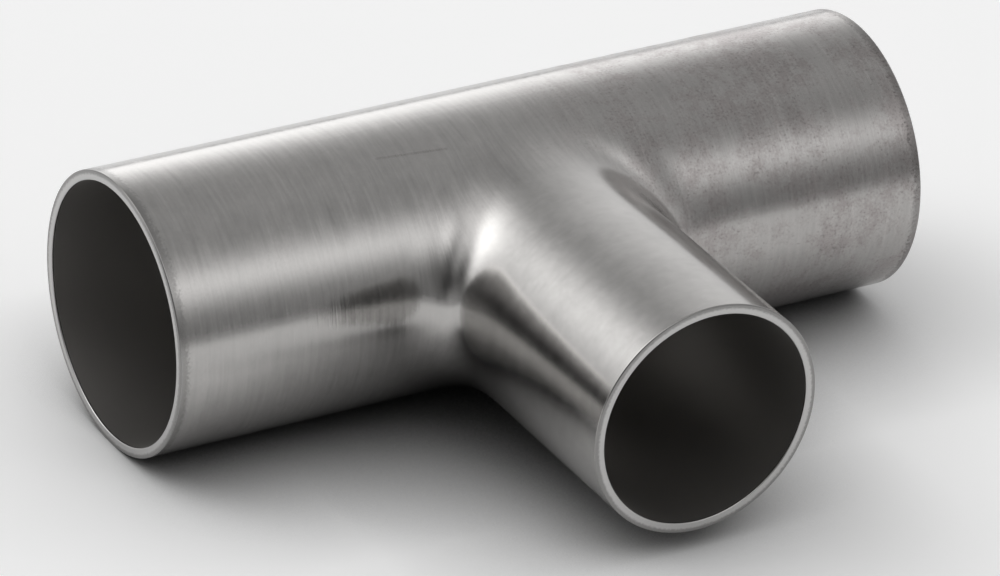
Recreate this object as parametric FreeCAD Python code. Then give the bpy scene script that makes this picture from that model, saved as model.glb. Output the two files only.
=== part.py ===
import FreeCAD, Part
import os

from FreeCAD import Vector

# Reducing weld tee in thin stainless tube, drawn in one piece. The run lies along X,
# the smaller branch leaves along -Y and Z is up. The origin is where the two axes
# cross. All sizes are in millimetres.

run_diameter = 41.0
branch_diameter = 35.0
wall = 1.5

# From the crossing of the axes out to the weld ends.
run_reach = 60.0
branch_reach = 60.0

# Outside radius of the drawn root where the branch leaves the run.
root_radius = 8.0

# Small bevel left by deburring each square-cut weld end, inside and outside.
edge_break = 0.2

run_radius = run_diameter / 2
branch_radius = branch_diameter / 2


def tee_form(inset, overrun):
    """Solid tee: both cylinders drawn in by the inset, with a rolled root."""
    run = Part.makeCylinder(
        run_radius - inset,
        2 * (run_reach + overrun),
        Vector(-run_reach - overrun, 0, 0),
        Vector(1, 0, 0),
    )
    branch = Part.makeCylinder(
        branch_radius - inset,
        branch_reach + overrun,
        Vector(0, 0, 0),
        Vector(0, -1, 0),
    )
    crossing = run.fuse(branch)
    root_edges = [
        edge
        for edge in crossing.Edges
        if edge.BoundBox.YMax < 0 and edge.BoundBox.YMin > -run_radius - inset - 1
    ]
    return crossing.makeFillet(root_radius + inset, root_edges)


# The bore's root takes the outside root radius plus the wall, so both skins share
# one rolling centre and the wall stays even all the way round the root.
outside = tee_form(0, 0)
bore = tee_form(wall, 5)
tee = outside.cut(bore).Solids[0]

end_edges = [
    edge
    for edge in tee.Edges
    if edge.BoundBox.XLength < 0.01
    and abs(abs(edge.CenterOfMass.x) - run_reach) < 0.01
    or edge.BoundBox.YLength < 0.01
    and abs(edge.CenterOfMass.y + branch_reach) < 0.01
]
tee = tee.makeChamfer(edge_break, end_edges)

os.makedirs("parts", exist_ok=True)
tee.exportStep("parts/tee_body.step")
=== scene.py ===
import math

import bpy
from mathutils import Matrix, Vector


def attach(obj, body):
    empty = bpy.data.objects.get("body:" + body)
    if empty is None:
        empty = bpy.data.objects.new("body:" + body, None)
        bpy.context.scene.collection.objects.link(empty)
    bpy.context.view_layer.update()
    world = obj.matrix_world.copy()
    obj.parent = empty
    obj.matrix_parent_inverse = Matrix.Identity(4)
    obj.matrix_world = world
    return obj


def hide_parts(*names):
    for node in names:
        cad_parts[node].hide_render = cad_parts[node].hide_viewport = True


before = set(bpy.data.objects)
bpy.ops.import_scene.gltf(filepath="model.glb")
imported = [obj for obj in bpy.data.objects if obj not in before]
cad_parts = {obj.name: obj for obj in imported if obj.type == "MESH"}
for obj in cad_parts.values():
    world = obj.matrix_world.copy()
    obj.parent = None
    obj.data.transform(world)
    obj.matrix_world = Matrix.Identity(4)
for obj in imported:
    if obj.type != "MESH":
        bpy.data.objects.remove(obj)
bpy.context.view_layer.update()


class Feed:
    # a socket that takes part in ordinary Python sums
    def __init__(self, desk, socket):
        self.desk = desk
        self.socket = socket

    def sum(self, operation, *others):
        return self.desk.add("ShaderNodeMath", {"operation": operation}, [self, *others])

    def sumAfter(self, operation, first):
        return self.desk.add("ShaderNodeMath", {"operation": operation}, [first, self])

    def clamp(self, low, high):
        return self.sum("MAXIMUM", low).sum("MINIMUM", high)

    def __add__(self, other):
        return self.sum("ADD", other)

    def __radd__(self, other):
        return self.sumAfter("ADD", other)

    def __sub__(self, other):
        return self.sum("SUBTRACT", other)

    def __rsub__(self, other):
        return self.sumAfter("SUBTRACT", other)

    def __mul__(self, other):
        return self.sum("MULTIPLY", other)

    def __rmul__(self, other):
        return self.sumAfter("MULTIPLY", other)

    def __truediv__(self, other):
        return self.sum("DIVIDE", other)

    def __rtruediv__(self, other):
        return self.sumAfter("DIVIDE", other)

    def __mod__(self, other):
        return self.sum("MODULO", other)

    def __rmod__(self, other):
        return self.sumAfter("MODULO", other)

    def __neg__(self):
        return self.sum("MULTIPLY", -1.0)


class Desk:
    # a node tree being wired up
    def __init__(self, tree):
        self.tree = tree

    def node(self, kind, settings=None, feeds=None):
        made = self.tree.nodes.new(kind)
        for name, value in (settings or {}).items():
            setattr(made, name, value)
        pairs = feeds.items() if isinstance(feeds, dict) else enumerate(feeds or [])
        for where, value in pairs:
            self.put(value, made.inputs[where])
        return made

    def put(self, value, socket):
        if isinstance(value, Feed):
            self.tree.links.new(value.socket, socket)
        elif isinstance(value, bpy.types.NodeSocket):
            self.tree.links.new(value, socket)
        else:
            socket.default_value = value

    def add(self, kind, settings=None, feeds=None, out=0):
        return Feed(self, self.node(kind, settings, feeds).outputs[out])

    def parts(self, vector):
        split = self.node("ShaderNodeSeparateXYZ", {}, [vector])
        return [Feed(self, socket) for socket in split.outputs]

    def vector(self, operation, *others, out=0):
        return self.add("ShaderNodeVectorMath", {"operation": operation}, others, out=out)

    def scaled(self, vector, amount):
        feeds = {0: vector, "Scale": amount}
        return self.add("ShaderNodeVectorMath", {"operation": "SCALE"}, feeds)

    def band(self, value, start, end):
        # eased from 0 at the start to 1 at the end
        return self.add(
            "ShaderNodeMapRange",
            {"interpolation_type": "SMOOTHSTEP"},
            {"Value": value, "From Min": start, "From Max": end},
        )


def emptyDesk(owner):
    owner.use_nodes = True
    owner.node_tree.nodes.clear()
    return Desk(owner.node_tree)


teeShape = {
    "Run radius": 0.0205,
    "Branch radius": 0.0175,
    "Wall": 0.0015,
    "Run reach": 0.060,
    "Branch reach": 0.060,
    "Edge round": 0.0002,
}
# how far the drawn root runs out from the crossing of the two tubes, at the branch's sides and on
# its top and underside, and how far each handle of its curve reaches back towards the crossing
rootOutside = {
    "runSide": 0.0092,
    "runTop": 0.0050,
    "branchSide": 0.0105,
    "branchTop": 0.0200,
    "topNarrow": 10.0,  # how narrow the long run-out on the top and underside is
    "runHandle": 0.90,
    "branchHandle": 0.72,
    "steps": 40,
}
rootInside = {
    "runSide": 0.0109,
    "runTop": 0.0049,
    "branchSide": 0.0114,
    "branchTop": 0.0202,
    "topNarrow": 10.0,
    "runHandle": 0.79,
    "branchHandle": 0.76,
    "steps": 20,
}
teeMesh = {
    "around": 256,  # points round the branch, in eights
    "patchHalf": 0.032,  # where the worked patch round the branch ends along the run
    "branchSteps": 20,
    "patchSteps": 28,
    "endSteps": 16,
    "collar": 1.6,  # how far a rim's rings reach back from its end, in edge rounds
    "edgeBand": 0.2,  # narrow ring between a rounded edge and the flat of the rim, in edge rounds
    "weld": 2e-6,
}


def teeTree(material):
    tree = bpy.data.node_groups.new("drawnTee", "GeometryNodeTree")
    tree.interface.new_socket("Geometry", in_out="INPUT", socket_type="NodeSocketGeometry")
    tree.interface.new_socket("Geometry", in_out="OUTPUT", socket_type="NodeSocketGeometry")
    for name in teeShape:
        tree.interface.new_socket(name, in_out="INPUT", socket_type="NodeSocketFloat")
    desk = Desk(tree)
    given = desk.node("NodeGroupInput")
    size = {name: Feed(desk, given.outputs[name]) for name in teeShape}
    patches = []
    # both run from 0 to 1 over each patch's grid
    across, along = [part + 0.5 for part in desk.parts(desk.add("GeometryNodeInputPosition"))[:2]]

    def sine(angle):
        return angle.sum("SINE")

    def cosine(angle):
        return angle.sum("COSINE")

    def ring(radius, angle):
        # round the run, from its branch side
        return -radius * cosine(angle), radius * sine(angle)

    def patch(acrossCount, alongCount, x, y, z, flip, bore):
        grid = desk.add(
            "GeometryNodeMeshGrid",
            {},
            {
                "Size X": 1.0,
                "Size Y": 1.0,
                "Vertices X": acrossCount + 1,
                "Vertices Y": alongCount + 1,
            },
        )
        place = desk.add("ShaderNodeCombineXYZ", {}, [x, y, z])
        shaped = desk.add("GeometryNodeSetPosition", {}, {"Geometry": grid, "Position": place})
        if flip:
            shaped = desk.add("GeometryNodeFlipFaces", {}, [shaped])
        patches.append(
            desk.add(
                "GeometryNodeStoreNamedAttribute",
                {"data_type": "FLOAT", "domain": "FACE"},
                {"Geometry": shaped, "Name": "bore", "Value": 1.0 if bore else 0.0},
            )
        )

    def skin(runRadius, branchRadius, drawn, inner):
        around = teeMesh["around"]
        turn = across * (2 * math.pi)
        cosTurn, sinTurn = cosine(turn), sine(turn)
        wallX, wallZ = branchRadius * cosTurn, branchRadius * sinTurn
        crossAngle = (wallZ / runRadius).sum("ARCSINE")
        crossY = -runRadius * cosine(crossAngle)
        atSide = cosTurn * cosTurn
        atTop = sinTurn.sum("ABSOLUTE").sum("POWER", drawn["topNarrow"])
        onRun = drawn["runTop"] + (drawn["runSide"] - drawn["runTop"]) * atSide
        onBranch = drawn["branchSide"] + (drawn["branchTop"] - drawn["branchSide"]) * atTop
        startY = crossY - onBranch

        # branch wall, from the weld end down to the root
        endY = size["Edge round"] * teeMesh["collar"] - size["Branch reach"]
        wallY = endY + (startY - endY) * along
        patch(around, teeMesh["branchSteps"], wallX, wallY, wallZ, not inner, inner)

        # where the root ends on the run, straight out from the crossing on the unrolled wall
        outX = wallX / cosine(crossAngle)
        outLength = (outX * outX + wallZ * wallZ).sum("SQRT")
        outX = outX / outLength
        outTurn = wallZ / outLength
        footX = wallX + outX * onRun
        footAngle = crossAngle + outTurn * onRun / runRadius
        footY, footZ = ring(runRadius, footAngle)

        # drawn root, a four-point curve from the branch wall to the run wall
        back = onRun * drawn["runHandle"]
        rest = 1.0 - along
        weights = [
            rest * rest * rest,
            rest * rest * along * 3.0,
            rest * along * along * 3.0,
            along * along * along,
        ]

        def curve(*points):
            first, *others = [weight * point for weight, point in zip(weights, points)]
            return sum(others, first)

        rootX = curve(wallX, wallX, footX - outX * back, footX)
        rootY = curve(
            startY,
            startY + onBranch * drawn["branchHandle"],
            footY - outTurn * sine(footAngle) * back,
            footY,
        )
        rootZ = curve(wallZ, wallZ, footZ - outTurn * cosine(footAngle) * back, footZ)
        patch(around, drawn["steps"], rootX, rootY, rootZ, not inner, inner)

        # run wall round the root, out to a square in length and angle
        eighth = across * 8.0
        squareX, squareAngle = [
            (2.0 - ((eighth + start) % 8.0 - 4.0).sum("ABSOLUTE")).clamp(-1.0, 1.0)
            for start in (4.0, 2.0)
        ]
        x = footX + (squareX * teeMesh["patchHalf"] - footX) * along
        angle = footAngle + (squareAngle * (math.pi / 2) - footAngle) * along
        patch(around, teeMesh["patchSteps"], x, *ring(runRadius, angle), not inner, inner)

        # back of the run behind that square, then both plain lengths
        quarter = around // 4
        x = (2.0 * along - 1.0) * teeMesh["patchHalf"]
        angle = math.pi / 2 + across * math.pi
        patch(quarter, quarter, x, *ring(runRadius, angle), not inner, inner)
        angle = across * (2 * math.pi) - math.pi / 2
        endX = size["Run reach"] - size["Edge round"] * teeMesh["collar"]
        for side in (-1.0, 1.0):
            x = side * (teeMesh["patchHalf"] + (endX - teeMesh["patchHalf"]) * along)
            flip = inner != (side > 0)
            patch(2 * quarter, teeMesh["endSteps"], x, *ring(runRadius, angle), flip, inner)

    def rim(outerRadius, reach, place, count, flip):
        # a square-cut end with both edges rounded, in short rings from the outside to the bore
        soft = size["Edge round"]
        innerRadius = outerRadius - size["Wall"]
        quarterTurn = along * (math.pi / 2)
        collar, edgeBand = teeMesh["collar"], teeMesh["edgeBand"]
        flatOut = outerRadius - soft * (1.0 + edgeBand)
        flatAcross = innerRadius - outerRadius + soft * (2.0 + 2.0 * edgeBand)
        roundedReach = reach - soft + soft * sine(quarterTurn)
        roundedBack = reach - soft + soft * cosine(quarterTurn)
        rings = [
            (2, outerRadius, reach - soft * (collar - (collar - 1.0) * along)),
            (6, outerRadius - soft + soft * cosine(quarterTurn), roundedReach),
            (1, outerRadius - soft * (1.0 + edgeBand * along), reach),
            (2, flatOut + flatAcross * along, reach),
            (1, innerRadius + soft * (1.0 + edgeBand - edgeBand * along), reach),
            (6, innerRadius + soft - soft * sine(quarterTurn), roundedBack),
            (2, innerRadius, reach - soft * (1.0 + (collar - 1.0) * along)),
        ]
        for steps, radius, out in rings:
            patch(count, steps, *place(radius, out), flip, False)

    wall = size["Wall"]
    skin(size["Run radius"], size["Branch radius"], rootOutside, False)
    skin(size["Run radius"] - wall, size["Branch radius"] - wall, rootInside, True)

    runTurn = across * (2 * math.pi) - math.pi / 2
    branchTurn = across * (2 * math.pi)
    for side in (-1.0, 1.0):
        rim(
            size["Run radius"],
            size["Run reach"],
            lambda radius, out: (side * out, *ring(radius, runTurn)),
            teeMesh["around"] // 2,
            side > 0,
        )
    rim(
        size["Branch radius"],
        size["Branch reach"],
        lambda radius, out: (radius * cosine(branchTurn), -out, radius * sine(branchTurn)),
        teeMesh["around"],
        False,
    )

    joined = desk.node("GeometryNodeJoinGeometry")
    for shaped in patches:
        desk.put(shaped, joined.inputs[0])
    feeds = {"Geometry": joined.outputs[0], "Distance": teeMesh["weld"]}
    welded = desk.add("GeometryNodeMergeByDistance", {}, feeds)
    smooth = desk.add("GeometryNodeSetShadeSmooth", {}, [welded])
    solid = desk.add("GeometryNodeRealizeInstances", {}, [smooth])
    finished = desk.add(
        "GeometryNodeSetMaterial", {}, {"Geometry": solid, "Material": material}
    )
    desk.node("NodeGroupOutput", {}, [finished])
    return tree


def makeTee(material):
    blank = bpy.data.meshes.new("teeShell")
    tee = bpy.data.objects.new("teeShell", blank)
    bpy.context.scene.collection.objects.link(tee)
    drawn = tee.modifiers.new("drawn tee", "NODES")
    drawn.node_group = teeTree(material)
    for item in drawn.node_group.interface.items_tree:
        if item.in_out == "INPUT" and item.name in teeShape:
            drawn[item.identifier] = teeShape[item.name]
    bpy.context.view_layer.update()
    shaped = tee.evaluated_get(bpy.context.evaluated_depsgraph_get())
    plain = bpy.data.meshes.new_from_object(shaped)
    plain.name = "teeShell"
    tee.modifiers.clear()
    tee.data = plain
    bpy.data.meshes.remove(blank)
    return tee


# places and widths are in metres, and a pair says where a change starts and where it is full
finish = {
    "steel": (0.47, 0.461, 0.45, 1.0),
    "stain": (0.335, 0.313, 0.307, 1.0),
    "rim": (0.50, 0.494, 0.487, 1.0),
    # colour of the painted shade on the rims' outer edge
    "rimEdgeShade": (0.27, 0.265, 0.26, 1.0),
    "bore": (0.345, 0.333, 0.32, 1.0),
    "steelRoughness": 0.155,
    "rimRoughness": 0.30,
    "boreRoughness": 0.5,
    "lineFine": 1500.0,  # polishing lines, features per metre across and along them
    "lineLong": 110.0,
    "lineDepth": 0.000013,
    "lineColour": 0.30,
    "lineRoughness": 0.16,
    # the branch's own finish, by the distance from the run's middle and by y
    "branchOut": (0.0215, 0.0275),
    "branchAlong": (-0.010, -0.016),
    "branchLines": 0.2,  # how much of the lines it has
    "branchClean": 0.8,  # how much of the stains it lacks
    "branchDull": 0.075,  # added roughness on its lower half
    "dullHeight": (0.0050, -0.0010),
    "cloudScale": 110.0,
    "cloudColour": 0.30,
    "cloudRoughness": 0.10,
    "speckScale": 560.0,
    "speckColour": 0.22,
    "speckRoughness": 0.08,
    "speckDepth": 0.000006,
    "grainScale": 2600.0,
    # handling stains, full on the right of the run
    "stainAlong": (-0.004, 0.024),
    "stainLeast": 0.15,
    "stainMix": (0.5, 0.3, 0.2),  # shares of cloud, speck and grain in a blotch
    "blotchEdge": (0.42, 0.60),
    "blotchStain": 0.8,
    "evenStain": 0.25,
    "stainRoughness": 0.06,
    "dotMix": (0.7, 0.3),  # shares of grain and cloud in the small dots
    "dotEdge": (0.57, 0.66),
    "dotColour": 0.22,
    # darker ring beside each end of the run
    "besideEnd": (0.0592, 0.0602),
    "endWaver": 0.0018,
    "endColour": 0.3,
    "endRoughness": 0.08,
    # ground rims, by the distance along and from the middle of their tube, with painted shade
    # darkening their outer edge
    "rimAlong": (0.05975, 0.0599),
    "runRimShade": (0.0197, 0.0201),
    "branchRimShade": (0.0167, 0.0171),
    "rimShadeWaver": 0.0006,
    # short scratches and a rub line, each from one place on the tee to another, with its width
    "marks": [
        ((0.0048, -0.0091, 0.0184), (0.0077, -0.0115, 0.0170), 0.00010),
        ((0.0057, -0.0086, 0.0186), (0.0084, -0.0111, 0.0172), 0.00008),
        ((0.0050, -0.0101, 0.0178), (0.0068, -0.0120, 0.0169), 0.00009),
        ((-0.0227, -0.0066, 0.0194), (-0.0121, -0.0075, 0.0191), 0.00034),
    ],
    "markStain": 0.3,
    "markColour": 0.14,
    "markRoughness": 0.1,
}


def stainless():
    material = bpy.data.materials.new("satinStainless")
    desk = emptyDesk(material)
    band, vector = desk.band, desk.vector
    place = desk.add("ShaderNodeTexCoord", out="Object")
    x, y, z = desk.parts(place)

    def noise(where, scale, detail=3.0, roughness=0.6):
        return desk.add(
            "ShaderNodeTexNoise",
            {"noise_dimensions": "3D"},
            {"Vector": where, "Scale": scale, "Detail": detail, "Roughness": roughness},
        )

    def mixed(shares, *others):
        first, *others = [other * share for share, other in zip(shares, others)]
        return sum(others, first)

    def blend(amount, first, second):
        feeds = {0: amount, 6: first, 7: second}
        return desk.add("ShaderNodeMix", {"data_type": "RGBA"}, feeds, out=2)

    # polishing lines run round the tube that they are on
    fromRun = (y * y + z * z).sum("SQRT")
    onBranch = band(fromRun, *finish["branchOut"]) * band(y, *finish["branchAlong"])

    def linesAlong(axis, *others):
        parts = [axis * finish["lineFine"], *[other * finish["lineLong"] for other in others]]
        return noise(desk.add("ShaderNodeCombineXYZ", {}, parts), 1.0) - 0.5

    runLines = linesAlong(x, y, z)
    branchLines = linesAlong(y, x, z) * finish["branchLines"]
    lines = runLines + (branchLines - runLines) * onBranch

    marked = 0.0
    for start, end, width in finish["marks"]:
        start, end = Vector(start), Vector(end)
        path = end - start
        away = vector("SUBTRACT", place, start)
        share = vector("DOT_PRODUCT", away, path / path.length_squared, out=1).clamp(0.0, 1.0)
        distance = vector("DISTANCE", away, desk.scaled(path, share), out=1)
        marked = band(distance, width, 0.0).sum("MAXIMUM", marked)

    cloud = noise(place, finish["cloudScale"])
    speck = noise(place, finish["speckScale"])
    grain = noise(place, finish["grainScale"], 2.0)
    least = finish["stainLeast"]
    stained = band(x, *finish["stainAlong"]) * (1.0 - least) + least
    stained = stained * (1.0 - onBranch * finish["branchClean"])
    blotch = band(mixed(finish["stainMix"], cloud, speck, grain), *finish["blotchEdge"])
    stain = (blotch * finish["blotchStain"] + finish["evenStain"]) * stained
    stain = stain + marked * finish["markStain"]
    dots = band(mixed(finish["dotMix"], grain, cloud), *finish["dotEdge"]) * stained

    endWise = x.sum("ABSOLUTE")
    besideEnd = band(endWise + grain * finish["endWaver"], *finish["besideEnd"])
    runRim = band(endWise, *finish["rimAlong"])
    branchRim = band(-y, *finish["rimAlong"])
    fromBranch = (x * x + z * z).sum("SQRT")
    shadeWaver = grain * finish["rimShadeWaver"] - finish["rimShadeWaver"] / 2
    # painted shade: the outer edge of each rim is darker, its border wavered by the grain
    rimEdgeShade = runRim * band(fromRun + shadeWaver, *finish["runRimShade"])
    rimEdgeShade = rimEdgeShade + branchRim * band(fromBranch + shadeWaver, *finish["branchRimShade"])
    rim = runRim.sum("MAXIMUM", branchRim)
    bore = desk.add("ShaderNodeAttribute", {"attribute_name": "bore"}, out="Fac")

    shade = 1.0 + lines * finish["lineColour"]
    shade = shade + (cloud - 0.5) * finish["cloudColour"] + (speck - 0.5) * finish["speckColour"]
    shade = shade - marked * finish["markColour"] - besideEnd * finish["endColour"]
    shade = shade - dots * finish["dotColour"]
    colour = desk.scaled(blend(stain, finish["steel"], finish["stain"]), shade)
    colour = blend(rim, colour, blend(rimEdgeShade, finish["rim"], finish["rimEdgeShade"]))
    colour = blend(bore, colour, finish["bore"])

    roughness = finish["steelRoughness"] + lines * finish["lineRoughness"]
    roughness = roughness + stain * finish["stainRoughness"]
    roughness = roughness + (cloud - 0.5) * finish["cloudRoughness"]
    roughness = roughness + (speck - 0.5) * finish["speckRoughness"]
    roughness = roughness + besideEnd * finish["endRoughness"] + marked * finish["markRoughness"]
    roughness = roughness + onBranch * band(z, *finish["dullHeight"]) * finish["branchDull"]
    roughness = roughness + (finish["rimRoughness"] - roughness) * rim
    roughness = roughness + (finish["boreRoughness"] - roughness) * bore

    height = lines * finish["lineDepth"] + speck * finish["speckDepth"]
    bump = desk.add("ShaderNodeBump", {}, {"Strength": 1.0, "Distance": 1.0, "Height": height})
    surface = desk.add(
        "ShaderNodeBsdfPrincipled",
        {},
        {"Base Color": colour, "Metallic": 1.0, "Roughness": roughness, "Normal": bump},
    )
    desk.node("ShaderNodeOutputMaterial", {}, [surface])
    return material


studio = {
    "floorSize": 6.0,
    "floorHeight": -0.0205,
    "floorColour": (0.95, 0.95, 0.95),
    "poolCentre": (0.0, 0.24),  # middle of a pool of light painted into the floor's colour
    "poolEdge": (0.37, 0.63),  # between these distances from it the painted light falls off to a darker floor
    "poolFall": 0.5,
    "floorGlow": 0.20,  # how much lighter the floor shows to the camera and in the steel
    "paintedShadowReach": 0.028,  # painted shadow: the floor's colour darkens where the tee stands close over it
    "paintedShadowDepth": 0.85,
    "fill": 0.225,  # even light from all round
    "darkest": 0.02,
    "level": 1.15,
    # azimuth from the front and elevation in degrees, tightness, strength
    "softLights": [
        (-131, 43, 18, 2.0),  # big box behind on the left
        (-113, 25, 40, 0.7),  # its lower end
        (-79, 73, 12, 0.7),  # over the top
        (-85, 57, 20, 0.25),  # high on the left
        (0, 55, 28, 1.0),  # front
        (28, 35, 33, 0.8),  # front, on the right
        (99, 16, 3, 0.4),  # right
        (94, 40, 45, 0.45),  # small box high on the right
        (162, 8, 15, 1.4),  # bright backdrop
        (163, 40, 28, 0.08),  # above it
        (-144, 15, 17, 0.5),  # low behind on the left
        (-62, 44, 25, 0.25),  # over the camera on the left
        (-60, -14, 6, 0.5),  # low on the left
        (-70, 33, 3, -0.28),  # black card round the camera
        (-42, 8, 16, -0.18),  # the camera's stand
    ],
}


def makeFloor():
    half, height = studio["floorSize"] / 2, studio["floorHeight"]
    corners = [(-half, -half), (half, -half), (half, half), (-half, half)]
    mesh = bpy.data.meshes.new("floor")
    mesh.from_pydata([(*corner, height) for corner in corners], [], [(0, 1, 2, 3)])
    floor = bpy.data.objects.new("floor", mesh)
    bpy.context.scene.collection.objects.link(floor)

    material = bpy.data.materials.new("paleFloor")
    desk = emptyDesk(material)
    # painted shadow: ambient occlusion darkens the floor's colour near the tee
    paintedShadow = desk.add(
        "ShaderNodeAmbientOcclusion",
        {"samples": 8},
        {"Distance": studio["paintedShadowReach"]},
        out="AO",
    )
    rays = desk.node("ShaderNodeLightPath")
    camera, glossy, through = [
        Feed(desk, rays.outputs[name])
        for name in ("Is Camera Ray", "Is Glossy Ray", "Is Transmission Ray")
    ]
    seen = camera.sum("MAXIMUM", glossy).sum("MAXIMUM", through)
    place = desk.add("ShaderNodeTexCoord", out="Object")
    # painted pool of light: the floor's colour darkens away from its middle
    distance = desk.vector("DISTANCE", place, (*studio["poolCentre"], height), out=1)
    paintedLightFall = desk.band(distance, *studio["poolEdge"]) * studio["poolFall"]
    shade = paintedShadow.sum("POWER", studio["paintedShadowDepth"])
    shade = shade * (1.0 - paintedLightFall) * (1.0 + seen * studio["floorGlow"])
    paper = desk.add(
        "ShaderNodeBsdfDiffuse", {}, {"Color": desk.scaled(studio["floorColour"], shade)}
    )
    desk.node("ShaderNodeOutputMaterial", {}, [paper])
    mesh.materials.append(material)


def makeWorld():
    world = bpy.data.worlds.new("studio")
    bpy.context.scene.world = world
    desk = emptyDesk(world)
    direction = desk.add("ShaderNodeTexCoord", out="Generated")
    total = studio["fill"]
    for azimuth, elevation, tightness, strength in studio["softLights"]:
        azimuth, elevation = math.radians(azimuth), math.radians(elevation)
        aim = (
            math.sin(azimuth) * math.cos(elevation),
            -math.cos(azimuth) * math.cos(elevation),
            math.sin(elevation),
        )
        facing = desk.vector("DOT_PRODUCT", direction, aim, out=1)
        total = ((facing - 1.0) * tightness).sum("EXPONENT") * strength + total
    total = total.sum("MAXIMUM", studio["darkest"]) * studio["level"]
    light = desk.add("ShaderNodeBackground", {}, {"Color": (1, 1, 1, 1), "Strength": total})
    desk.node("ShaderNodeOutputWorld", {}, [light])


view = {
    "place": (-0.45996, -0.76331, 0.48106),
    "aim": (-0.00032, -0.00455, -0.00736),
    "roll": 3.134,  # degrees
    "lens": 255.98,  # millimetres, as the sensor
    "sensor": 36.0,
    "nearest": 0.05,
}


def makeCamera():
    camera = bpy.data.cameras.new("camera")
    camera.sensor_width = view["sensor"]
    camera.lens = view["lens"]
    camera.clip_start = view["nearest"]
    holder = bpy.data.objects.new("camera", camera)
    bpy.context.scene.collection.objects.link(holder)
    place = Vector(view["place"])
    sight = (Vector(view["aim"]) - place).to_track_quat("-Z", "Y").to_matrix().to_4x4()
    roll = Matrix.Rotation(math.radians(view["roll"]), 4, "Z")
    holder.matrix_world = Matrix.Translation(place) @ sight @ roll
    bpy.context.scene.camera = holder


bpy.context.scene.view_settings.view_transform = "Standard"
steel = stainless()
print("finish mixed:", len(steel.node_tree.nodes), "nodes")
tee = makeTee(steel)
print("tee shell:", len(tee.data.polygons), "faces")
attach(tee, "root")
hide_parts("tee_body")
makeFloor()
makeWorld()
makeCamera()
print("studio set")
